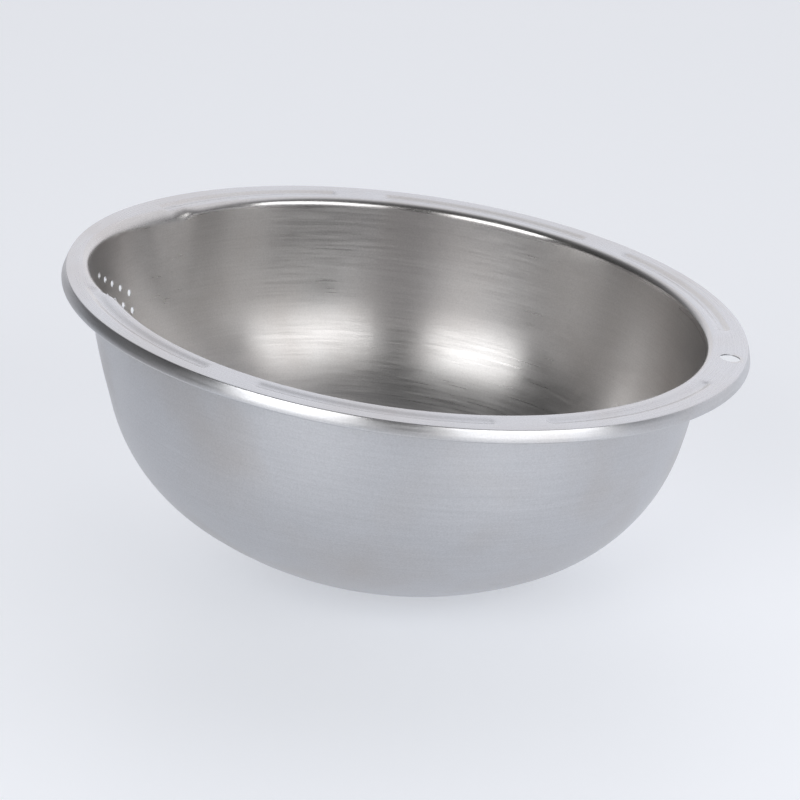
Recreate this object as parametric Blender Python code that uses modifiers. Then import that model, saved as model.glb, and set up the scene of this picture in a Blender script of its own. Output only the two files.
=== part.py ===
"""Stainless strainer basin: one piece of deep drawn sheet with a flanged, rolled rim.

The basin is built in its own bowl frame, with Z along the bowl's axis and the top of the flange at
Z = 0. It is then leaned as it stands on its foot, with the hanging hole low, towards +X.
"""
import math

import bmesh
import bpy
from mathutils import Matrix, Vector

MM = 0.001
SHEET = 0.6 * MM              # thickness of the steel

# rim
RIM_RADIUS = 170.0 * MM       # over the rolled edge
FLANGE_RADIUS = 168.0 * MM    # where the flat flange turns down
RIM_CORNER = 0.8 * MM         # chamfer between the flange and the turned-down edge
LIP_DROP = 5.4 * MM           # flange top down to the widest point of the rolled edge
ROLL_RADIUS = 1.0 * MM        # of the roll that the edge ends in
THROAT_ROUND = 4.2 * MM       # rounding between the flange and the wall

# bowl, inside
MOUTH_RADIUS = 147.6 * MM     # wall at the top, under the rounding
WALL_DRAFT = math.radians(2.6)
DRAFT_DEPTH = 14.0 * MM       # the plain drafted band ends here
KNUCKLE_DEPTH = 52.0 * MM     # the wall ends here and the rounder belly starts
KNUCKLE_SLOPE = math.radians(10.4)
BELLY_RADIUS = 88.5 * MM
BELLY_SLOPE = math.radians(56.0)   # the bottom's large sphere starts at this slope

# stance
LEAN = math.radians(7.5)      # of the bowl's axis, towards the hanging hole
FOOT_RADIUS = 44.0 * MM       # of the flat that the basin stands on
FOOT_ROUND = 2.5 * MM

# channels pressed into the flange, in pairs either side of the hanging hole
CHANNELS = ((13.9, 55.8), (64.3, 105.9), (114.7, 155.2))   # degrees from the hanging hole
CHANNEL_RADIUS = 157.6 * MM
CHANNEL_HALF_WIDTH = 4.4 * MM
CHANNEL_DEPTH = 1.2 * MM
CHANNEL_RAMP = 1.2            # degrees that each end takes to come up

# strainer bay opposite the hanging hole: a flatter arc that stands outside the round wall
BAY_RADIUS = 106.0 * MM
BAY_REACH = 162.3 * MM        # from the bowl's axis to the middle of the bay, at the flange
BAY_DEPTH = 60.0 * MM         # the bay has run out into the wall here
BAY_FULLNESS = 1.6            # above 1, the bay keeps its reach longer before it runs out

# holes
HANGING_HOLE = 10.0 * MM
HANGING_RADIUS = 160.0 * MM
DRAIN_HOLE = 3.5 * MM
DRAIN_TOP = 18.7 * MM         # depth of the top hole
DRAIN_ROW = 4.35 * MM         # rows, which are staggered
DRAIN_COLUMN = 3.0            # degrees between columns
DRAIN_ROWS = 8
DRAIN_WIDEST = 4              # columns either side of the middle
PUNCH_LENGTH = 12.0 * MM

WIDEST_STEP = 7.6             # degrees between the stations of the turned surface
BOTTOM_STEPS = 4              # points of the profile along the bottom's sphere
THROAT_RADIUS = MOUTH_RADIUS + THROAT_ROUND


def clear_scene():
    for item in list(bpy.data.objects):
        bpy.data.objects.remove(item, do_unlink=True)


def new_collection(name):
    collection = bpy.data.collections.new(name)
    bpy.context.scene.collection.children.link(collection)
    return collection


def satin_steel():
    material = bpy.data.materials.new("satin_steel")
    material.use_nodes = True
    shader = material.node_tree.nodes["Principled BSDF"]
    shader.inputs["Base Color"].default_value = (0.60, 0.60, 0.61, 1.0)
    shader.inputs["Metallic"].default_value = 1.0
    shader.inputs["Roughness"].default_value = 0.32
    return material


def slope_arc(start, radius, slope_from, slope_to, steps):
    """Points of an arc that runs down and inwards, its slope measured from the vertical."""
    centre_r = start[0] - radius * math.cos(slope_from)
    centre_z = start[1] + radius * math.sin(slope_from)
    points = []
    for step in range(1, steps + 1):
        slope = slope_from + (slope_to - slope_from) * step / steps
        points.append((centre_r + radius * math.cos(slope), centre_z - radius * math.sin(slope)))
    return points


def bowl_profile():
    """(radius, height) from the throat's rounding down to the bottom, on the inner face."""
    points = []
    round_steps = 4
    for step in range(round_steps):
        turn = math.pi / 2 * step / round_steps
        radius = THROAT_RADIUS - THROAT_ROUND * math.sin(turn)
        points.append((radius, -THROAT_ROUND * (1 - math.cos(turn))))
    points.append((MOUTH_RADIUS, -THROAT_ROUND))
    draft_end = MOUTH_RADIUS - (DRAFT_DEPTH - THROAT_ROUND) * math.tan(WALL_DRAFT)
    points.append((draft_end, -DRAFT_DEPTH))
    wall_radius = (KNUCKLE_DEPTH - DRAFT_DEPTH) / (math.sin(KNUCKLE_SLOPE) - math.sin(WALL_DRAFT))
    points += slope_arc(points[-1], wall_radius, WALL_DRAFT, KNUCKLE_SLOPE, 3)
    points += slope_arc(points[-1], BELLY_RADIUS, KNUCKLE_SLOPE, BELLY_SLOPE, 5)
    points += slope_arc(points[-1], bottom_radius(points[-1]), BELLY_SLOPE, math.pi / 2, BOTTOM_STEPS)
    return points


def bottom_radius(belly_end):
    """Radius of the sphere that carries on from the belly and is centred on the axis."""
    return belly_end[0] / math.cos(BELLY_SLOPE)


def rim_profile():
    """(radius, height) from the rolled edge in to the throat, on the upper and outer face."""
    roll_centre = (RIM_RADIUS - ROLL_RADIUS, -LIP_DROP)
    points = []
    roll_steps = 3
    for step in range(roll_steps + 1):
        turn = -math.pi + math.pi * step / roll_steps
        points.append((roll_centre[0] + ROLL_RADIUS * math.cos(turn),
                       roll_centre[1] + ROLL_RADIUS * math.sin(turn)))
    points.append((FLANGE_RADIUS, -RIM_CORNER))
    points.append((FLANGE_RADIUS - RIM_CORNER, 0.0))
    for share in (1.0, 0.5, 0.0, -0.5, -1.0):
        points.append((CHANNEL_RADIUS + share * CHANNEL_HALF_WIDTH, 0.0))
    return points


def stations():
    """Angles from the hanging hole to the strainer where the profile is repeated."""
    marks = {0.0, 90.0, 180.0}
    for start, end in CHANNELS:
        marks |= {start, start + CHANNEL_RAMP, end - CHANNEL_RAMP, end}
    marks = sorted(marks)
    angles = [marks[0]]
    for low, high in zip(marks, marks[1:]):
        parts = math.ceil((high - low) / WIDEST_STEP)
        angles += [low + (high - low) * part / parts for part in range(1, parts + 1)]
    return [math.radians(angle) for angle in angles]


def channel_drop(radius, degrees):
    """How far the flange is pressed down at a radius and at an angle from the hanging hole."""
    across = abs(radius - CHANNEL_RADIUS) / CHANNEL_HALF_WIDTH
    if across >= 1.0:
        return 0.0
    for start, end in CHANNELS:
        inside = min(degrees - start, end - degrees) / CHANNEL_RAMP
        if inside > 0.0:
            return CHANNEL_DEPTH * 0.5 * (1 + math.cos(math.pi * across)) * min(inside, 1.0)
    return 0.0


def bay_shift(radius, depth, from_strainer):
    """How far out the strainer bay carries a point of the round basin."""
    centre = BAY_REACH - BAY_RADIUS
    reach = centre * math.cos(from_strainer)
    reach += math.sqrt(BAY_RADIUS ** 2 - (centre * math.sin(from_strainer)) ** 2)
    run_out = 1 - min(max(depth, 0.0) / BAY_DEPTH, 1.0) ** BAY_FULLNESS
    shift = max(0.0, reach - THROAT_RADIUS) * run_out
    if radius > THROAT_RADIUS:
        shift *= max(0.0, FLANGE_RADIUS - radius) / (FLANGE_RADIUS - THROAT_RADIUS)
    return shift


def press_flange_and_bay(bm):
    for vert in bm.verts:
        radius = vert.co.xy.length
        if radius < SHEET:
            continue
        angle = abs(math.atan2(vert.co.y, vert.co.x))
        outward = Vector((vert.co.x, vert.co.y, 0.0)) / radius
        shift = bay_shift(radius, -vert.co.z, math.pi - angle)
        drop = channel_drop(radius + shift, math.degrees(angle))
        vert.co += outward * shift - Vector((0.0, 0.0, drop))


def turn_profile(bm):
    """Sweep the profile from the hanging hole round to the strainer."""
    verts = [bm.verts.new((radius, 0.0, height)) for radius, height in rim_profile() + bowl_profile()]
    edges = [bm.edges.new(pair) for pair in zip(verts, verts[1:])]
    geometry = verts + edges
    angles = stations()
    for start, end in zip(angles, angles[1:]):
        turned = bmesh.ops.spin(bm, geom=geometry, axis=(0, 0, 1), cent=(0, 0, 0),
                                angle=end - start, steps=1)
        geometry = turned["geom_last"]
    bmesh.ops.remove_doubles(bm, verts=bm.verts, dist=0.01 * MM)


def stance():
    """Foot plane's centre and downward normal in the bowl frame, on the inner face."""
    points = bowl_profile()
    sphere = bottom_radius(points[-1 - BOTTOM_STEPS])
    centre = Vector((0.0, 0.0, points[-1][1] + sphere))
    down = Vector((math.sin(LEAN), 0.0, -math.cos(LEAN)))
    return centre + down * math.sqrt(sphere ** 2 - FOOT_RADIUS ** 2), down


def flatten_foot(bm):
    centre, down = stance()
    cut = bmesh.ops.bisect_plane(bm, geom=bm.verts[:] + bm.edges[:] + bm.faces[:], dist=0.01 * MM,
                                 plane_co=centre, plane_no=down, clear_outer=True)
    loop = [item for item in cut["geom_cut"] if isinstance(item, bmesh.types.BMEdge)]
    bmesh.ops.edgeloop_fill(bm, edges=loop)
    bmesh.ops.bevel(bm, geom=loop, offset=FOOT_ROUND, segments=2, profile=0.5, affect="EDGES",
                    clamp_overlap=True, material=-1)


def basin_surface():
    """The inner and upper face of the whole basin, open at the rolled edge."""
    bm = bmesh.new()
    turn_profile(bm)
    press_flange_and_bay(bm)
    bmesh.ops.mirror(bm, geom=bm.verts[:] + bm.edges[:] + bm.faces[:], axis="Y",
                     matrix=Matrix.Identity(4), merge_dist=0.01 * MM)
    bmesh.ops.recalc_face_normals(bm, faces=bm.faces)
    flatten_foot(bm)
    if max(bm.faces, key=lambda face: face.calc_center_median().z).normal.z < 0.0:
        bmesh.ops.reverse_faces(bm, faces=bm.faces)
    mesh = bpy.data.meshes.new("basin")
    bm.to_mesh(mesh)
    bm.free()
    return mesh


def join_cutters(name, pieces, collection):
    """One cutter object from cylinders given as (centre, axis, radius, sides)."""
    bm = bmesh.new()
    for centre, axis, radius, sides in pieces:
        place = Matrix.Translation(centre) @ axis.to_track_quat("Z", "Y").to_matrix().to_4x4()
        place @= Matrix.Rotation(math.pi / sides, 4, "Z")
        bmesh.ops.create_cone(bm, cap_ends=True, segments=sides, radius1=radius, radius2=radius,
                              depth=PUNCH_LENGTH, matrix=place)
    mesh = bpy.data.meshes.new(name)
    bm.to_mesh(mesh)
    bm.free()
    cutter = bpy.data.objects.new(name, mesh)
    cutter.display_type = "WIRE"
    cutter.hide_render = True
    collection.objects.link(cutter)
    return cutter


def wall_radius_at(depth):
    """Inner radius of the round wall at a depth above the knuckle."""
    points = [point for point in bowl_profile() if -point[1] >= THROAT_ROUND - SHEET]
    for upper, lower in zip(points, points[1:]):
        if depth <= -lower[1]:
            share = (depth + upper[1]) / (upper[1] - lower[1])
            return upper[0] + (lower[0] - upper[0]) * share
    return points[-1][0]


def drain_punches():
    """Cylinders for the drain holes: staggered rows that widen from a single hole at the top."""
    pieces = []
    bay_slope = math.atan((BAY_REACH - THROAT_RADIUS) / BAY_DEPTH)
    for row in range(DRAIN_ROWS):
        depth = DRAIN_TOP + row * DRAIN_ROW
        widest = min(row, DRAIN_WIDEST - (row - DRAIN_WIDEST) % 2)
        for column in range(-widest, widest + 1, 2):
            offset = math.radians(column * DRAIN_COLUMN)
            angle = math.pi + offset
            radius = wall_radius_at(depth)
            radius += bay_shift(radius, depth, offset)
            outward = Vector((math.cos(angle), math.sin(angle), 0.0))
            centre = outward * radius - Vector((0.0, 0.0, depth))
            axis = outward * math.cos(bay_slope) - Vector((0.0, 0.0, math.sin(bay_slope)))
            pieces.append((centre, axis, DRAIN_HOLE / 2, 8))
    return pieces


def build():
    clear_scene()
    parts = new_collection("strainer_basin")
    cutters = new_collection("cutters")

    basin = bpy.data.objects.new("basin", basin_surface())
    basin.data.materials.append(satin_steel())
    parts.objects.link(basin)
    wall = basin.modifiers.new("sheet", "SOLIDIFY")
    wall.thickness = SHEET
    wall.offset = -1.0
    wall.use_even_offset = True

    hanging = [(Vector((HANGING_RADIUS, 0.0, 0.0)), Vector((0, 0, 1)), HANGING_HOLE / 2, 16)]
    cutter = join_cutters("hole_punches", hanging + drain_punches(), cutters)
    cutter.parent = basin
    holes = basin.modifiers.new("holes", "BOOLEAN")
    holes.operation = "DIFFERENCE"
    holes.solver = "EXACT"
    holes.object = cutter

    lean = Matrix.Rotation(LEAN, 3, "Y")
    centre, down = stance()
    foot = centre + down * SHEET
    basin.rotation_euler = (0.0, LEAN, 0.0)
    basin.location = -(lean @ foot)
    basin.data.shade_smooth()
    basin.data.set_sharp_from_angle(angle=math.radians(30))
    bpy.context.view_layer.update()


build()
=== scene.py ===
"""Stainless strainer basin, drawn in one piece, standing on a pale studio floor.

The basin is modelled in its own bowl frame, with Z along the bowl's axis, the top of the flange at
Z = 0 and the hanging hole on +X, and is then leaned and set down on its slanted foot flat.
"""
import math

import bmesh
import bpy
from bpy.props import FloatProperty, FloatVectorProperty, PointerProperty
from mathutils import Matrix, Vector


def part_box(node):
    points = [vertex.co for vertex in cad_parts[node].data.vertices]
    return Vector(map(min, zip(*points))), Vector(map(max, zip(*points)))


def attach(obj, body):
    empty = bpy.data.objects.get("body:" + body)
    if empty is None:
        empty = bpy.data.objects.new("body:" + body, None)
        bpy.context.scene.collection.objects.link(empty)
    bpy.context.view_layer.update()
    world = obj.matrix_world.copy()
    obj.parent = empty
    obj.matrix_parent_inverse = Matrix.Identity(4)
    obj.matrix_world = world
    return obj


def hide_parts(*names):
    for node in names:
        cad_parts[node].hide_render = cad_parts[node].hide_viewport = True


bl_info = {
    "name": "Strainer Basin",
    "version": (1, 0, 0),
    "blender": (4, 5, 0),
    "location": "View3D > Sidebar > Basin",
    "description": "Makes a satin steel strainer basin and the studio around it",
    "category": "Add Mesh",
}

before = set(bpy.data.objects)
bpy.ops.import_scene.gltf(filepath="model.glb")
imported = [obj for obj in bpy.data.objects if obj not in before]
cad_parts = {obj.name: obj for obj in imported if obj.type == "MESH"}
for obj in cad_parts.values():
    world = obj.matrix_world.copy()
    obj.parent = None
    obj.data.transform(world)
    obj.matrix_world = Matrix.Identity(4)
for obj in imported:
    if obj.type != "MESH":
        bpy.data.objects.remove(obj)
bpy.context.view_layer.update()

MM = 0.001
NODE = "basin"
SHELL = "basin_shell"
RIM_RADIUS = (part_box(NODE)[1].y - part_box(NODE)[0].y) / 2

CHANNELS = ((13.9, 55.8), (64.3, 105.9), (114.7, 155.2))   # degrees either side of the hanging hole

# how finely the shapes are stepped
WELD = 0.01 * MM              # vertices nearer than this are merged
THROAT_STEPS = 8
PLAIN_STEPS = 3
WALL_STEPS = 10
BELLY_STEPS = 18
BOTTOM_STEPS = 12
ROLL_STEPS = 12
EDGE_STEPS = 3
CORNER_STEPS = 6
FLANGE_STEPS = 16
RAMP_STEPS = 4
TURN_STEP = 1.5               # degrees
FOOT_STEPS = 4
DRAIN_SIDES = 32
HANGING_SIDES = 64

# fixed parts of the shapes
ROLL_WRAP = 220               # degrees that the roll curls back under the edge
RUN_OUT_SOFTNESS = 0.03       # of the bay's reach, where the bay runs out
MIDDLE_ROUND = 0.25           # share of the bay's extra rounding that is left at its middle
DRAIN_ROWS = 8
DRAIN_WIDEST = 4              # columns either side of the middle
PUNCH_LENGTH = 12 * MM
INSIDE = Vector((0.0, 0.0, -40.0)) * MM   # a point well inside the bowl, in the bowl frame
OUTSIDE = "outside"           # attribute: 1 on faces that look away from that point
SHARP = math.radians(35)


def length(name, text, value):
    return FloatProperty(name=name, description=text, default=value, unit="LENGTH", precision=5)


def angle(name, text, degrees):
    return FloatProperty(name=name, description=text, default=math.radians(degrees), subtype="ANGLE")


def number(name, text, value):
    return FloatProperty(name=name, description=text, default=value)


def share(name, text, value):
    return FloatProperty(name=name, description=text, default=value, min=0.0, max=1.0)


def tint(name, text, value):
    return FloatVectorProperty(name=name, description=text, default=value, subtype="COLOR",
                               min=0.0, max=1.0)


class BasinSizes(bpy.types.PropertyGroup):
    """Sizes of the drawn basin, on its inner and upper face."""
    sheet: length("Sheet", "Thickness of the steel", 0.6 * MM)
    rim: length("Rim", "Radius over the rolled edge", RIM_RADIUS)
    edge_flare: length("Edge Flare", "How far the turned-down edge leans out", 1.6 * MM)
    edge_drop: length("Edge Drop", "Flange top down to the widest point of the edge", 5.4 * MM)
    roll: length("Roll", "Radius of the roll that the edge ends in", 1.0 * MM)
    corner: length("Corner", "Rounding from the flange into the turned-down edge", 0.8 * MM)
    throat_round: length("Throat Rounding", "Rounding from the flange into the wall", 4.2 * MM)
    mouth: length("Mouth", "Radius of the wall under the rounding", 147.6 * MM)
    draft: angle("Draft", "Lean of the plain wall at the top", 2.6)
    draft_depth: length("Draft Depth", "Where the plain wall ends", 14.0 * MM)
    knuckle_depth: length("Knuckle Depth", "Where the wall turns into the belly", 52.0 * MM)
    knuckle_slope: angle("Knuckle Slope", "Lean of the wall at the knuckle", 10.4)
    belly: length("Belly", "Radius of the belly's curve", 88.5 * MM)
    belly_slope: angle("Belly Slope", "Where the bottom's large sphere starts", 56.0)
    lean: angle("Lean", "Of the bowl's axis, towards the hanging hole", 7.5)
    foot: length("Foot", "Radius of the flat that the basin stands on", 44.0 * MM)
    foot_round: length("Foot Rounding", "Softening round the flat", 2.5 * MM)
    channel_radius: length("Channel Radius", "Middle of the pressed channels", 157.6 * MM)
    channel_width: length("Channel Width", "Across a pressed channel", 8.8 * MM)
    channel_depth: length("Channel Depth", "Of a pressed channel", 1.2 * MM)
    channel_ramp: angle("Channel Ramp", "Angle that each channel's end takes to come up", 1.2)
    bay_radius: length("Bay Radius", "Of the flatter arc that carries the strainer", 106.0 * MM)
    bay_reach: length("Bay Reach", "Axis to the middle of the bay, at the flange", 162.3 * MM)
    bay_depth: length("Bay Depth", "Where the bay has run out into the wall", 60.0 * MM)
    bay_fullness: number("Bay Fullness", "Above 1, the bay keeps its reach longer as it goes down", 1.6)
    bay_blend: length("Bay Blend", "Softness of the corner where the bay starts", 1.2 * MM)
    bay_start: angle("Bay Start", "Strainer's middle to the end of the bay's larger rounding", 31.0)
    bay_jog: angle("Bay Jog", "Angle that the rounding takes to grow", 4.5)
    bay_extra_round: length("Bay Extra Rounding", "What the bay adds to the throat's rounding", 4.2 * MM)
    hanging_hole: length("Hanging Hole", "Its diameter", 10.0 * MM)
    hanging_radius: length("Hanging Hole Place", "From the axis", 160.0 * MM)
    drain_hole: length("Drain Hole", "Diameter of a drain hole", 3.5 * MM)
    drain_top: length("Drain Top", "Depth of the top drain hole", 18.7 * MM)
    drain_row: length("Drain Row", "Between staggered rows", 4.35 * MM)
    drain_column: angle("Drain Column", "Between columns", 3.0)


class SteelFinish(bpy.types.PropertyGroup):
    """Colour and surface of the satin steel."""
    color: tint("Colour", "Reflected colour of the steel, inside", (0.555, 0.545, 0.54))
    # outer colour: the steel's own colour with a painted bluish reflection of the floor on the outside
    outer_color_with_floor_tint: tint("Outer Colour", "Reflected colour of the steel, outside", (0.56, 0.565, 0.585))
    worn_color: tint("Worn Colour", "Of the slightly stained patches", (0.50, 0.475, 0.46))
    # edge tone: a painted sheen, the turned-down edge made lighter in colour in place of its reflection of
    # the floor
    edge_sheen_tone: share("Edge Tone", "How much lighter the rubbed edge is", 0.04)
    roughness: share("Roughness", "Of the satin surface", 0.34)
    speckle: share("Speckle", "Grain of the matt surface", 0.30)
    line_tone: share("Line Tone", "Light and dark of the fine lines round the bowl", 0.22)
    cloud_tone: share("Cloud Tone", "Light and dark of broad patches", 0.10)
    bump: share("Bump", "Height of grain and lines", 0.35)
    brushing: share("Brushing", "How much the fine lines round the bowl stretch its highlights", 0.55)


class StudioSetup(bpy.types.PropertyGroup):
    """Floor and lights."""
    floor_paint: tint("Floor Paint", "Colour of the floor under the lights", (0.53, 0.545, 0.575))
    floor_roughness: share("Floor Roughness", "Of the floor", 0.5)
    floor_color: tint("Floor Light", "Colour of the light that comes through the floor",
                      (0.80, 0.82, 0.86))
    floor_glow: share("Floor Glow", "Light that the backlit floor gives by itself", 0.50)
    bright_side: angle("Bright Side", "Direction of the room's bright side, round from the front", 165.0)
    bright_lift: angle("Bright Lift", "Middle of the room's bright side, above the floor", 22.0)
    camera_turn: angle("Camera Turn", "Round the basin from the front, towards +X", 10.9)
    camera_lift: angle("Camera Lift", "Above the floor", 19.67)
    camera_reach: length("Camera Reach", "From what it looks at", 1.7667)
    lens: FloatProperty(name="Lens", description="Focal length", default=162.0, min=1.0,
                        subtype="DISTANCE_CAMERA")


# the surface

def arc_down(start, radius, slope_from, slope_to, steps):
    """Points of an arc that runs down and inwards, its slope measured from the vertical."""
    centre_r = start[0] - radius * math.cos(slope_from)
    centre_z = start[1] + radius * math.sin(slope_from)
    points = []
    for step in range(1, steps + 1):
        slope = slope_from + (slope_to - slope_from) * step / steps
        points.append((centre_r + radius * math.cos(slope), centre_z - radius * math.sin(slope)))
    return points


def bowl_profile(size):
    """(radius, height) from the throat's rounding down to the bottom, on the inner face."""
    throat = size.mouth + size.throat_round
    points = []
    for step in range(THROAT_STEPS):
        turn = math.pi / 2 * step / THROAT_STEPS
        points.append((throat - size.throat_round * math.sin(turn),
                       -size.throat_round * (1 - math.cos(turn))))
    points.append((size.mouth, -size.throat_round))
    plain = size.draft_depth - size.throat_round
    for step in range(1, PLAIN_STEPS + 1):
        down = plain * step / PLAIN_STEPS
        points.append((size.mouth - down * math.tan(size.draft), -size.throat_round - down))
    wall = (size.knuckle_depth - size.draft_depth) / (math.sin(size.knuckle_slope) - math.sin(size.draft))
    points += arc_down(points[-1], wall, size.draft, size.knuckle_slope, WALL_STEPS)
    points += arc_down(points[-1], size.belly, size.knuckle_slope, size.belly_slope, BELLY_STEPS)
    bottom = points[-1][0] / math.cos(size.belly_slope)
    points += arc_down(points[-1], bottom, size.belly_slope, math.pi / 2, BOTTOM_STEPS)
    return points


def rim_profile(size):
    """(radius, height) from inside the roll, over its outer face, to the throat."""
    centre = (size.rim - size.roll, -size.edge_drop)
    points = []
    for step in range(ROLL_STEPS + 1):
        turn = math.radians(-ROLL_WRAP + ROLL_WRAP * step / ROLL_STEPS)
        points.append((centre[0] + size.roll * math.cos(turn), centre[1] + size.roll * math.sin(turn)))
    flange = size.rim - size.edge_flare
    lean = math.atan2(size.edge_flare, size.edge_drop)
    for step in range(1, EDGE_STEPS):
        share_up = step / EDGE_STEPS
        points.append((size.rim - size.edge_flare * share_up, -size.edge_drop * (1 - share_up)))
    for step in range(CORNER_STEPS + 1):
        turn = lean + (math.pi / 2 - lean) * step / CORNER_STEPS
        points.append((flange - size.corner + size.corner * math.cos(turn),
                       -size.corner + size.corner * math.sin(turn)))
    half = size.channel_width / 2
    for step in range(FLANGE_STEPS + 1):
        points.append((size.channel_radius + half - size.channel_width * step / FLANGE_STEPS, 0.0))
    return points


def stations(size):
    """Angles from the hanging hole to the strainer where the profile is repeated."""
    ramp = math.degrees(size.channel_ramp)
    marks = {0.0, 90.0, 180.0}
    for start, end in CHANNELS:
        for part in range(RAMP_STEPS + 1):
            marks |= {start + ramp * part / RAMP_STEPS, end - ramp * part / RAMP_STEPS}
    marks = sorted(marks)
    angles = [marks[0]]
    for low, high in zip(marks, marks[1:]):
        parts = math.ceil((high - low) / TURN_STEP)
        angles += [low + (high - low) * part / parts for part in range(1, parts + 1)]
    return [math.radians(mark) for mark in angles]


def smooth(value):
    """0 below 0, 1 above 1, and a soft step between."""
    value = min(max(value, 0.0), 1.0)
    return value * value * (3 - 2 * value)


def channel_drop(size, radius, degrees):
    """How far the flange is pressed down at a radius and at an angle from the hanging hole."""
    across = abs(radius - size.channel_radius) / (size.channel_width / 2)
    if across >= 1.0:
        return 0.0
    for start, end in CHANNELS:
        inside = min(degrees - start, end - degrees) / math.degrees(size.channel_ramp)
        if inside > 0.0:
            return size.channel_depth * 0.5 * (1 + math.cos(math.pi * across)) * smooth(inside)
    return 0.0


def soft_above_zero(value, softness):
    """The value where it is well above zero, nothing where it is well below, and a soft bend between."""
    if value < -20 * softness:
        return 0.0
    return softness * math.log1p(math.exp(value / softness))


def run_out(size, depth):
    """Share of the bay's reach that is left at a depth, ending softly in the wall."""
    left = 1 - (max(depth, 0.0) / size.bay_depth) ** size.bay_fullness
    return soft_above_zero(left, RUN_OUT_SOFTNESS)


def bay_shift(size, radius, depth, from_strainer):
    """How far out the strainer bay carries a point of the round basin."""
    throat = size.mouth + size.throat_round
    flange = size.rim - size.edge_flare
    centre = size.bay_reach - size.bay_radius
    reach = centre * math.cos(from_strainer)
    reach += math.sqrt(size.bay_radius ** 2 - (centre * math.sin(from_strainer)) ** 2)
    shift = soft_above_zero(reach - throat, size.bay_blend) * run_out(size, depth)
    if radius > throat:
        shift *= max(0.0, flange - radius) / (flange - throat)
    return shift


def wider_rounding(size, radius, depth, from_strainer):
    """(outward, down) moves that give the bay a larger rounding than the plain throat."""
    grown = smooth((size.bay_start - from_strainer) / size.bay_jog)
    if grown == 0.0:
        return 0.0, 0.0
    middle = min(from_strainer / (size.bay_start - size.bay_jog), 1.0)
    extra = size.bay_extra_round * grown * (MIDDLE_ROUND + (1 - MIDDLE_ROUND) * middle ** 2)
    throat = size.mouth + size.throat_round
    flange = size.rim - size.edge_flare
    out = min(max((radius - size.mouth) / size.throat_round, 0.0), 1.0)
    if radius > throat:
        out = max(0.0, flange - radius) / (flange - throat)
    down = min(max(depth / size.throat_round, 0.0), 1.0)
    if depth > size.throat_round:
        down = max(0.0, size.drain_top - depth) / (size.drain_top - size.throat_round)
    if radius > throat:
        down = 0.0
    return extra * out, extra * down


def press_flange_and_bay(bm, size):
    """Move the round basin's vertices into the channels, the bay and its rounding."""
    for vert in bm.verts:
        radius = vert.co.xy.length
        if radius < size.sheet:
            continue
        turn = abs(math.atan2(vert.co.y, vert.co.x))
        outward = Vector((vert.co.x, vert.co.y, 0.0)) / radius
        shift = bay_shift(size, radius, -vert.co.z, math.pi - turn)
        out, down = wider_rounding(size, radius, -vert.co.z, math.pi - turn)
        shift += out
        drop = channel_drop(size, radius + shift, math.degrees(turn)) + down
        vert.co += outward * shift - Vector((0.0, 0.0, drop))


def turn_profile(bm, size):
    """Sweep the profile half a turn, from the hanging hole round to the strainer."""
    profile = rim_profile(size) + bowl_profile(size)
    verts = [bm.verts.new((radius, 0.0, height)) for radius, height in profile]
    edges = [bm.edges.new(pair) for pair in zip(verts, verts[1:])]
    geometry = verts + edges
    angles = stations(size)
    for start, end in zip(angles, angles[1:]):
        turned = bmesh.ops.spin(bm, geom=geometry, axis=(0, 0, 1), cent=(0, 0, 0),
                                angle=end - start, steps=1)
        geometry = turned["geom_last"]
    bmesh.ops.remove_doubles(bm, verts=bm.verts, dist=WELD)


def stance(size):
    """Foot plane's centre and downward normal in the bowl frame, on the inner face."""
    points = bowl_profile(size)
    belly_end = points[-1 - BOTTOM_STEPS]
    sphere = belly_end[0] / math.cos(size.belly_slope)
    centre = Vector((0.0, 0.0, points[-1][1] + sphere))
    down = Vector((math.sin(size.lean), 0.0, -math.cos(size.lean)))
    return centre + down * math.sqrt(sphere ** 2 - size.foot ** 2), down


def standing_place(size):
    """Bowl frame to the frame of the part, whose origin is under the foot."""
    centre, down = stance(size)
    lean = Matrix.Rotation(size.lean, 4, "Y")
    return lean @ Matrix.Translation(-(centre + down * size.sheet))


def flatten_foot(bm, size):
    """Cut the bottom off at the foot's plane, close it with a flat and round the edge."""
    centre, down = stance(size)
    cut = bmesh.ops.bisect_plane(bm, geom=bm.verts[:] + bm.edges[:] + bm.faces[:], dist=WELD,
                                 plane_co=centre, plane_no=down, clear_outer=True)
    loop = [item for item in cut["geom_cut"] if isinstance(item, bmesh.types.BMEdge)]
    bmesh.ops.edgeloop_fill(bm, edges=loop)
    bmesh.ops.bevel(bm, geom=loop, offset=size.foot_round, segments=FOOT_STEPS, profile=0.5,
                    affect="EDGES", clamp_overlap=True, material=-1)


def wall_radius_at(size, depth):
    """Inner radius of the round wall at a depth."""
    points = [point for point in bowl_profile(size) if -point[1] >= size.throat_round - size.sheet]
    for upper, lower in zip(points, points[1:]):
        if depth <= -lower[1]:
            along = (depth + upper[1]) / (upper[1] - lower[1])
            return upper[0] + (lower[0] - upper[0]) * along
    return points[-1][0]


def drain_places(size):
    """Centre and outward axis of each drain hole: staggered rows that widen from a single hole."""
    throat = size.mouth + size.throat_round
    slope = math.atan((size.bay_reach - throat) / size.bay_depth)
    places = []
    for row in range(DRAIN_ROWS):
        depth = size.drain_top + row * size.drain_row
        widest = min(row, DRAIN_WIDEST - (row - DRAIN_WIDEST) % 2)
        for column in range(-widest, widest + 1, 2):
            offset = column * size.drain_column
            radius = wall_radius_at(size, depth)
            radius += bay_shift(size, radius, depth, offset)
            outward = Vector((-math.cos(offset), -math.sin(offset), 0.0))
            axis = outward * math.cos(slope) - Vector((0.0, 0.0, math.sin(slope)))
            places.append((outward * radius - Vector((0.0, 0.0, depth)), axis))
    return places


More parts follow.
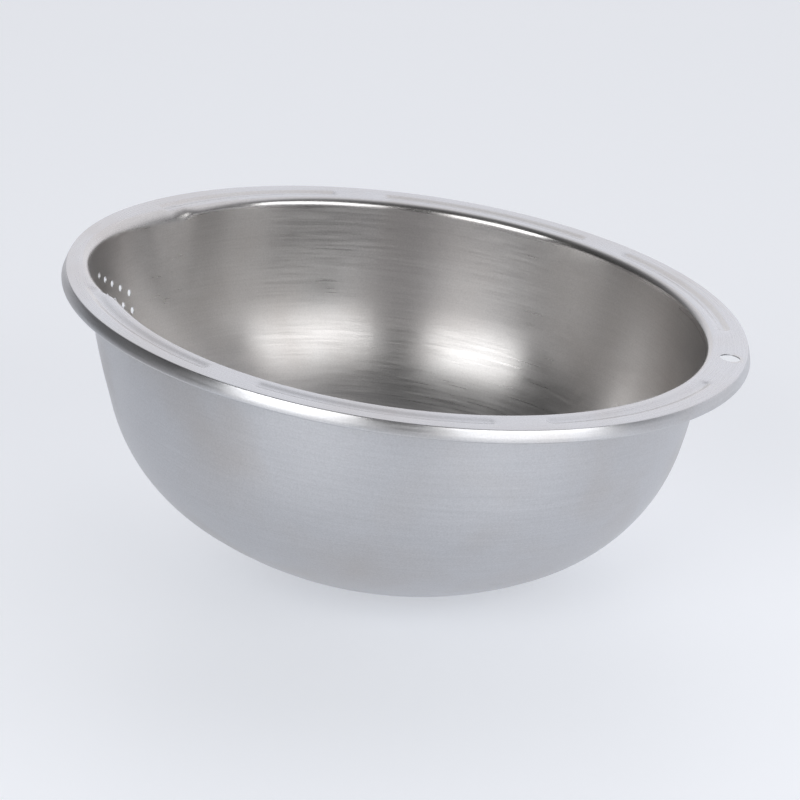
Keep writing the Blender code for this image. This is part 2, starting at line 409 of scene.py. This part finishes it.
def punch_mesh(size):
    """Cylinders that cut the drain holes and the hanging hole, in the bowl frame."""
    bm = bmesh.new()
    hanging = (Vector((size.hanging_radius, 0.0, 0.0)), Vector((0.0, 0.0, 1.0)))
    punches = [hanging + (size.hanging_hole / 2, HANGING_SIDES)]
    punches += [place + (size.drain_hole / 2, DRAIN_SIDES) for place in drain_places(size)]
    for centre, axis, radius, sides in punches:
        place = Matrix.Translation(centre) @ axis.to_track_quat("Z", "Y").to_matrix().to_4x4()
        place @= Matrix.Rotation(math.pi / sides, 4, "Z")
        bmesh.ops.create_cone(bm, cap_ends=True, segments=sides, radius1=radius, radius2=radius,
                              depth=PUNCH_LENGTH, matrix=place)
    mesh = bpy.data.meshes.new("punches")
    bm.to_mesh(mesh)
    bm.free()
    return mesh


def shell_mesh(size):
    """The basin's inner and upper face, without thickness and holes, in the bowl frame."""
    bm = bmesh.new()
    turn_profile(bm, size)
    press_flange_and_bay(bm, size)
    bmesh.ops.mirror(bm, geom=bm.verts[:] + bm.edges[:] + bm.faces[:], axis="Y",
                     matrix=Matrix.Identity(4), merge_dist=WELD)
    bmesh.ops.recalc_face_normals(bm, faces=bm.faces)
    flatten_foot(bm, size)
    bmesh.ops.recalc_face_normals(bm, faces=bm.faces)
    if max(bm.faces, key=lambda face: face.calc_center_median().z).normal.z < 0.0:
        bmesh.ops.reverse_faces(bm, faces=bm.faces)
    mesh = bpy.data.meshes.new(SHELL)
    bm.to_mesh(mesh)
    bm.free()
    return mesh


def settle(piece):
    """Give the piece its modified shape for good."""
    graph = bpy.context.evaluated_depsgraph_get()
    mesh = bpy.data.meshes.new_from_object(piece.evaluated_get(graph))
    piece.modifiers.clear()
    piece.data = mesh
    mesh.name = piece.name


def mark_outside(mesh):
    """Store which vertices face away from the bowl's inside, for the rougher outside and its painted bluish
    floor reflection.
    """
    values = [float(vert.normal.dot(vert.co - INSIDE) > 0.0) for vert in mesh.vertices]
    outside = mesh.attributes.new(OUTSIDE, "FLOAT", "POINT")
    outside.data.foreach_set("value", values)


def make_shell(size):
    """The finished basin, standing in the part's frame."""
    piece = bpy.data.objects.new(SHELL, shell_mesh(size))
    bpy.context.collection.objects.link(piece)
    wall = piece.modifiers.new("wall", "SOLIDIFY")
    wall.thickness = size.sheet
    wall.offset = -1.0
    wall.use_even_offset = True
    punches = bpy.data.objects.new("punches", punch_mesh(size))
    bpy.context.collection.objects.link(punches)
    holes = piece.modifiers.new("holes", "BOOLEAN")
    holes.operation = "DIFFERENCE"
    holes.solver = "EXACT"
    holes.object = punches
    bpy.context.view_layer.update()
    settle(piece)
    bpy.data.objects.remove(punches, do_unlink=True)
    mark_outside(piece.data)
    piece.data.transform(standing_place(size))
    piece.data.shade_smooth()
    piece.data.set_sharp_from_angle(angle=SHARP)
    return piece


# the finish

QUARTER_TURN = 0.25           # sets the stretch of the highlights across the brushed lines
NOISE_RANGE = (0.3, 0.7)      # where most of a noise texture's values lie
NOISE_MIDDLE = 0.5
LINES_PER_METRE = 900.0
LINE_CHANGES = 5.0            # how often a line changes in one turn
LINE_DETAIL = 3.0
SPECKLE_SCALE = 1300.0
SPECKLE_DETAIL = 2.0
CLOUD_SCALE = 14.0
CLOUD_DETAIL = 3.0
CLOUD_TWIST = 0.4
STAIN_RANGE = (0.42, 0.68)    # of the clouds, where the stain comes in
STAIN_MOST = 0.6
HAIR_SCALE = 55.0
HAIR_TWIST = 1.5
HAIR_WIDTH = 0.0035
HAIR_PLACES_SCALE = 21.0
HAIR_PLACES = (0.60, 0.66)
HAIR_MOST = 0.35
LINE_ROUGHNESS = 0.05
CLOUD_ROUGHNESS = 0.04
HAIR_POLISH = 0.12
RIM_POLISH = 0.12
EDGE_ROUGHNESS = 0.10
OUTER_ROUGHNESS = 0.06
RIM_DEPTHS = (-7 * MM, -2 * MM)           # the polish of the rim fades in between these
RIM_RADII = (160 * MM, 163 * MM)
EDGE_RADII = (168.2 * MM, 169.0 * MM)     # the turned-down edge starts between these
# the painted sheen of the turned-down edge comes in between these radii
PAINTED_SHEEN_RADII = (168.6 * MM, 169.2 * MM)
LINE_HEIGHT = 0.5             # against the speckle's height
BUMP_DISTANCE = 0.03 * MM


def vector_math(tree, operation, first, second=None):
    """A vector-math node fed by sockets or by fixed vectors."""
    node = tree.nodes.new("ShaderNodeVectorMath")
    node.operation = operation
    for socket, value in zip(node.inputs, (first, second)):
        if isinstance(value, bpy.types.NodeSocket):
            tree.links.new(value, socket)
        elif value is not None:
            socket.default_value = value
    return node


def math_node(tree, operation, first, second=0.0):
    """A math node fed by sockets or by fixed numbers; gives its output socket."""
    node = tree.nodes.new("ShaderNodeMath")
    node.operation = operation
    for socket, value in zip(node.inputs, (first, second)):
        if isinstance(value, bpy.types.NodeSocket):
            tree.links.new(value, socket)
        else:
            socket.default_value = value
    return node.outputs["Value"]


def map_range(tree, value, span, to_low, to_high):
    node = tree.nodes.new("ShaderNodeMapRange")
    node.inputs["From Min"].default_value = span[0]
    node.inputs["From Max"].default_value = span[1]
    node.inputs["To Min"].default_value = to_low
    node.inputs["To Max"].default_value = to_high
    tree.links.new(value, node.inputs["Value"])
    return node.outputs["Result"]


def color_mix(tree, first, second, factor):
    """Mix of two colours; a mix node has a socket of each name for every data type, one in use."""
    node = tree.nodes.new("ShaderNodeMix")
    node.data_type = "RGBA"
    for name, value in (("A", first), ("B", second), ("Factor", factor)):
        socket = next(item for item in node.inputs if item.name == name and item.enabled)
        if isinstance(value, bpy.types.NodeSocket):
            tree.links.new(value, socket)
        else:
            socket.default_value = value
    return next(item for item in node.outputs if item.enabled)


def noise(tree, vector, scale, detail, distortion=0.0):
    node = tree.nodes.new("ShaderNodeTexNoise")
    node.inputs["Scale"].default_value = scale
    node.inputs["Detail"].default_value = detail
    node.inputs["Distortion"].default_value = distortion
    tree.links.new(vector, node.inputs["Vector"])
    return node.outputs["Fac"]


def bowl_coordinates(tree, place):
    """Position in the part's frame, and in the bowl frame with Z along the bowl's axis."""
    surface = tree.nodes.new("ShaderNodeTexCoord")
    mapping = tree.nodes.new("ShaderNodeMapping")
    mapping.vector_type = "POINT"
    back = place.inverted()
    mapping.inputs["Location"].default_value = back.translation
    mapping.inputs["Rotation"].default_value = back.to_euler()
    tree.links.new(surface.outputs["Object"], mapping.inputs["Vector"])
    return surface.outputs["Object"], mapping.outputs["Vector"]


def split(tree, vector):
    """X, Y and Z outputs of a vector."""
    node = tree.nodes.new("ShaderNodeSeparateXYZ")
    tree.links.new(vector, node.inputs["Vector"])
    return node.outputs


def brush_lines(tree, flat, radius, depth):
    """Fine lines round the axis: fast changes across radius and depth, slow ones along the turn."""
    around = split(tree, vector_math(tree, "NORMALIZE", flat).outputs["Vector"])
    joined = tree.nodes.new("ShaderNodeCombineXYZ")
    tree.links.new(math_node(tree, "MULTIPLY", radius, LINES_PER_METRE), joined.inputs["X"])
    tree.links.new(math_node(tree, "MULTIPLY", depth, LINES_PER_METRE), joined.inputs["Y"])
    tree.links.new(math_node(tree, "MULTIPLY", around["X"], LINE_CHANGES), joined.inputs["Z"])
    lines = tree.nodes.new("ShaderNodeTexNoise")
    lines.noise_dimensions = "4D"
    lines.inputs["Scale"].default_value = 1.0
    lines.inputs["Detail"].default_value = LINE_DETAIL
    tree.links.new(joined.outputs["Vector"], lines.inputs["Vector"])
    tree.links.new(math_node(tree, "MULTIPLY", around["Y"], LINE_CHANGES), lines.inputs["W"])
    return lines.outputs["Fac"]


def hair_scratches(tree, local):
    """Thin wandering lines in a few places: 1 on a line, 0 elsewhere."""
    hair = noise(tree, local, HAIR_SCALE, 1.0, HAIR_TWIST)
    from_middle = math_node(tree, "ABSOLUTE", math_node(tree, "SUBTRACT", hair, NOISE_MIDDLE))
    thin = map_range(tree, from_middle, (0.0, HAIR_WIDTH), 1.0, 0.0)
    where = map_range(tree, noise(tree, local, HAIR_PLACES_SCALE, 1.0), HAIR_PLACES, 0.0, HAIR_MOST)
    return math_node(tree, "MULTIPLY", thin, where)


def steel_pattern(tree, local):
    """Everything that the colour, roughness and bump are made from."""
    flat = vector_math(tree, "MULTIPLY", local, (1.0, 1.0, 0.0)).outputs["Vector"]
    radius = vector_math(tree, "LENGTH", flat).outputs["Value"]
    depth = split(tree, local)["Z"]
    outside = tree.nodes.new("ShaderNodeAttribute")
    outside.attribute_name = OUTSIDE
    return {
        "radius": radius,
        "depth": depth,
        "outside": outside.outputs["Fac"],
        "lines": brush_lines(tree, flat, radius, depth),
        "speckle": noise(tree, local, SPECKLE_SCALE, SPECKLE_DETAIL),
        "cloud": noise(tree, local, CLOUD_SCALE, CLOUD_DETAIL, CLOUD_TWIST),
        "scratch": hair_scratches(tree, local),
    }


def steel_color(tree, finish, pattern):
    """The colours of the finish, made lighter and darker by the pattern, with a painted sheen on the
    turned-down edge and a painted bluish floor reflection outside.
    """
    tone = math_node(tree, "ADD", math_node(tree, "MULTIPLY", pattern["speckle"], finish.speckle),
                     math_node(tree, "MULTIPLY", pattern["lines"], finish.line_tone))
    tone = math_node(tree, "ADD", tone, math_node(tree, "MULTIPLY", pattern["cloud"], finish.cloud_tone))
    middle = NOISE_MIDDLE * (finish.speckle + finish.line_tone + finish.cloud_tone)
    shade = math_node(tree, "ADD", tone, 1.0 - middle)
    # painted sheen: the turned-down edge made lighter in colour, standing in for its bright reflection
    painted_sheen = map_range(tree, pattern["radius"], PAINTED_SHEEN_RADII, 0.0, finish.edge_sheen_tone)
    shade = math_node(tree, "ADD", shade, painted_sheen)
    # the outside gets a bluer colour, a painted reflection of the floor, through the outside mask
    base = color_mix(tree, (*finish.color, 1.0), (*finish.outer_color_with_floor_tint, 1.0), pattern["outside"])
    worn = map_range(tree, pattern["cloud"], STAIN_RANGE, 0.0, STAIN_MOST)
    stained = color_mix(tree, base, (*finish.worn_color, 1.0), worn)
    color = vector_math(tree, "SCALE", stained)
    tree.links.new(shade, color.inputs["Scale"])
    return color.outputs["Vector"]


def steel_roughness(tree, finish, pattern):
    """Smoother on the rim and in scratches, rougher outside and on the turned-down edge."""
    lines = map_range(tree, pattern["lines"], NOISE_RANGE, -LINE_ROUGHNESS, LINE_ROUGHNESS)
    clouds = map_range(tree, pattern["cloud"], NOISE_RANGE, finish.roughness - CLOUD_ROUGHNESS,
                       finish.roughness + CLOUD_ROUGHNESS)
    rim = math_node(tree, "MAXIMUM", map_range(tree, pattern["depth"], RIM_DEPTHS, 0.0, 1.0),
                    map_range(tree, pattern["radius"], RIM_RADII, 0.0, 1.0))
    rough = math_node(tree, "ADD", lines, clouds)
    rough = math_node(tree, "SUBTRACT", rough, math_node(tree, "MULTIPLY", pattern["scratch"], HAIR_POLISH))
    rough = math_node(tree, "SUBTRACT", rough, math_node(tree, "MULTIPLY", rim, RIM_POLISH))
    edge = map_range(tree, pattern["radius"], EDGE_RADII, 0.0, EDGE_ROUGHNESS)
    rough = math_node(tree, "ADD", rough, edge)
    outer = math_node(tree, "MULTIPLY", pattern["outside"], OUTER_ROUGHNESS)
    return math_node(tree, "ADD", rough, outer)


def steel_bump(tree, finish, pattern):
    height = math_node(tree, "ADD", math_node(tree, "MULTIPLY", pattern["lines"], LINE_HEIGHT),
                       math_node(tree, "SUBTRACT", pattern["speckle"], pattern["scratch"]))
    bump = tree.nodes.new("ShaderNodeBump")
    bump.inputs["Strength"].default_value = finish.bump
    bump.inputs["Distance"].default_value = BUMP_DISTANCE
    tree.links.new(height, bump.inputs["Height"])
    return bump.outputs["Normal"]


def satin_steel(finish, place):
    """Steel brushed round the bowl's axis; place takes the bowl frame to the part's frame."""
    material = bpy.data.materials.new("satin_steel")
    material.use_nodes = True
    tree = material.node_tree
    shader = tree.nodes["Principled BSDF"]
    shader.inputs["Metallic"].default_value = 1.0
    shader.inputs["Anisotropic"].default_value = finish.brushing
    shader.inputs["Anisotropic Rotation"].default_value = QUARTER_TURN
    position, local = bowl_coordinates(tree, place)
    from_axis = vector_math(tree, "SUBTRACT", position, place.translation).outputs["Vector"]
    axis = place.to_3x3() @ Vector((0.0, 0.0, 1.0))
    around = vector_math(tree, "CROSS_PRODUCT", axis, from_axis).outputs["Vector"]
    tree.links.new(around, shader.inputs["Tangent"])
    pattern = steel_pattern(tree, local)
    tree.links.new(steel_color(tree, finish, pattern), shader.inputs["Base Color"])
    tree.links.new(steel_roughness(tree, finish, pattern), shader.inputs["Roughness"])
    tree.links.new(steel_bump(tree, finish, pattern), shader.inputs["Normal"])
    return material


# the studio

FLOOR_HALF = 6.0
FLOOR_GAP = 0.05 * MM         # keeps the floor clear of the foot's own face
CAMERA_TARGET = Vector((-7.1, -17.3, 90.1)) * MM
LAMP_TARGET = Vector((0.0, 0.0, 0.1))
# name, turn and lift in degrees, distance, width and height in metres, power in watts
SOFTBOXES = (("left_softbox", -21, 26, 2.0, 1.4, 1.3, 17),
             ("right_softbox", 53, 20, 2.0, 1.9, 1.25, 19))
# how bright the room is, from straight away from its bright side to the middle of that side
ROOM_STOPS = ((0.0, (0.04, 0.04, 0.04)), (0.5, (0.10, 0.10, 0.10)), (0.7, (0.26, 0.26, 0.27)),
              (0.88, (0.98, 0.98, 1.02)), (1.0, (1.10, 1.10, 1.15)))


def floor_material(setup):
    material = bpy.data.materials.new("studio_floor")
    material.use_nodes = True
    shader = material.node_tree.nodes["Principled BSDF"]
    shader.inputs["Base Color"].default_value = (*setup.floor_paint, 1.0)
    shader.inputs["Roughness"].default_value = setup.floor_roughness
    shader.inputs["Emission Color"].default_value = (*setup.floor_color, 1.0)
    shader.inputs["Emission Strength"].default_value = setup.floor_glow
    return material


def make_floor(setup):
    bm = bmesh.new()
    bmesh.ops.create_grid(bm, x_segments=1, y_segments=1, size=FLOOR_HALF,
                          matrix=Matrix.Translation((0.0, 0.0, -FLOOR_GAP)))
    mesh = bpy.data.meshes.new("floor")
    bm.to_mesh(mesh)
    bm.free()
    floor = bpy.data.objects.new("floor", mesh)
    bpy.context.collection.objects.link(floor)
    mesh.materials.append(floor_material(setup))


def aim_from(turn, lift, reach, target):
    """Place and rotation of something that looks at the target."""
    back = Vector((math.sin(turn) * math.cos(lift), -math.cos(turn) * math.cos(lift), math.sin(lift)))
    return target + back * reach, (-back).to_track_quat("-Z", "Y")


def make_camera(setup):
    data = bpy.data.cameras.new("camera")
    data.lens = setup.lens
    camera = bpy.data.objects.new("camera", data)
    bpy.context.collection.objects.link(camera)
    camera.rotation_mode = "QUATERNION"
    camera.location, camera.rotation_quaternion = aim_from(setup.camera_turn, setup.camera_lift,
                                                           setup.camera_reach, CAMERA_TARGET)
    bpy.context.scene.camera = camera


def fill_ramp(ramp, stops):
    elements = ramp.color_ramp.elements
    while len(elements) < len(stops):
        elements.new(1.0)
    for element, (place, color) in zip(elements, stops):
        element.position = place
        element.color = (*color, 1.0)


def make_softbox(name, turn, lift, reach, width, height, power):
    data = bpy.data.lights.new(name, "AREA")
    data.shape = "RECTANGLE"
    data.size = width
    data.size_y = height
    data.energy = power
    lamp = bpy.data.objects.new(name, data)
    bpy.context.collection.objects.link(lamp)
    lamp.rotation_mode = "QUATERNION"
    lamp.location, lamp.rotation_quaternion = aim_from(math.radians(turn), math.radians(lift), reach,
                                                       LAMP_TARGET)


def make_world(setup):
    """A room that is bright behind the basin and dark round the camera."""
    world = bpy.data.worlds.new("studio")
    world.use_nodes = True
    bpy.context.scene.world = world
    nodes = world.node_tree.nodes
    links = world.node_tree.links
    place = nodes.new("ShaderNodeTexCoord")
    facing = nodes.new("ShaderNodeVectorMath")
    facing.operation = "DOT_PRODUCT"
    facing.inputs[1].default_value = aim_from(setup.bright_side, setup.bright_lift, 1.0, Vector())[0]
    ramp = nodes.new("ShaderNodeValToRGB")
    fill_ramp(ramp, ROOM_STOPS)
    spread = nodes.new("ShaderNodeMapRange")
    spread.inputs["From Min"].default_value = -1.0
    links.new(place.outputs["Generated"], facing.inputs[0])
    links.new(facing.outputs["Value"], spread.inputs["Value"])
    links.new(spread.outputs["Result"], ramp.inputs["Fac"])
    links.new(ramp.outputs["Color"], nodes["Background"].inputs["Color"])


# the add-on

class BASIN_OT_make_shell(bpy.types.Operator):
    """Make the drawn steel basin"""
    bl_idname = "basin.make_shell"
    bl_label = "Make Basin"

    def execute(self, context):
        settings = context.scene
        piece = make_shell(settings.basin_sizes)
        piece.data.materials.clear()
        piece.data.materials.append(satin_steel(settings.basin_finish,
                                                standing_place(settings.basin_sizes)))
        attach(piece, "root")
        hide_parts(NODE)
        return {"FINISHED"}


class BASIN_OT_make_studio(bpy.types.Operator):
    """Make the floor, the lights and the camera"""
    bl_idname = "basin.make_studio"
    bl_label = "Make Studio"

    def execute(self, context):
        setup = context.scene.basin_studio
        make_floor(setup)
        make_world(setup)
        for box in SOFTBOXES:
            make_softbox(*box)
        make_camera(setup)
        context.scene.view_settings.view_transform = "Standard"
        return {"FINISHED"}


class BASIN_PT_sidebar(bpy.types.Panel):
    """Sizes, finish and studio of the basin"""
    bl_idname = "BASIN_PT_sidebar"
    bl_label = "Strainer Basin"
    bl_space_type = "VIEW_3D"
    bl_region_type = "UI"
    bl_category = "Basin"

    def draw(self, context):
        layout = self.layout
        for group in (context.scene.basin_sizes, context.scene.basin_finish, context.scene.basin_studio):
            column = layout.column(align=True)
            for name in group.__annotations__:
                column.prop(group, name)
        layout.operator(BASIN_OT_make_shell.bl_idname)
        layout.operator(BASIN_OT_make_studio.bl_idname)


CLASSES = (BasinSizes, SteelFinish, StudioSetup, BASIN_OT_make_shell, BASIN_OT_make_studio,
           BASIN_PT_sidebar)


def register():
    for item in CLASSES:
        bpy.utils.register_class(item)
    bpy.types.Scene.basin_sizes = PointerProperty(type=BasinSizes)
    bpy.types.Scene.basin_finish = PointerProperty(type=SteelFinish)
    bpy.types.Scene.basin_studio = PointerProperty(type=StudioSetup)


def unregister():
    del bpy.types.Scene.basin_studio
    del bpy.types.Scene.basin_finish
    del bpy.types.Scene.basin_sizes
    for item in reversed(CLASSES):
        bpy.utils.unregister_class(item)


def main():
    register()
    bpy.ops.basin.make_shell()
    bpy.ops.basin.make_studio()


if __name__ == "__main__":
    main()
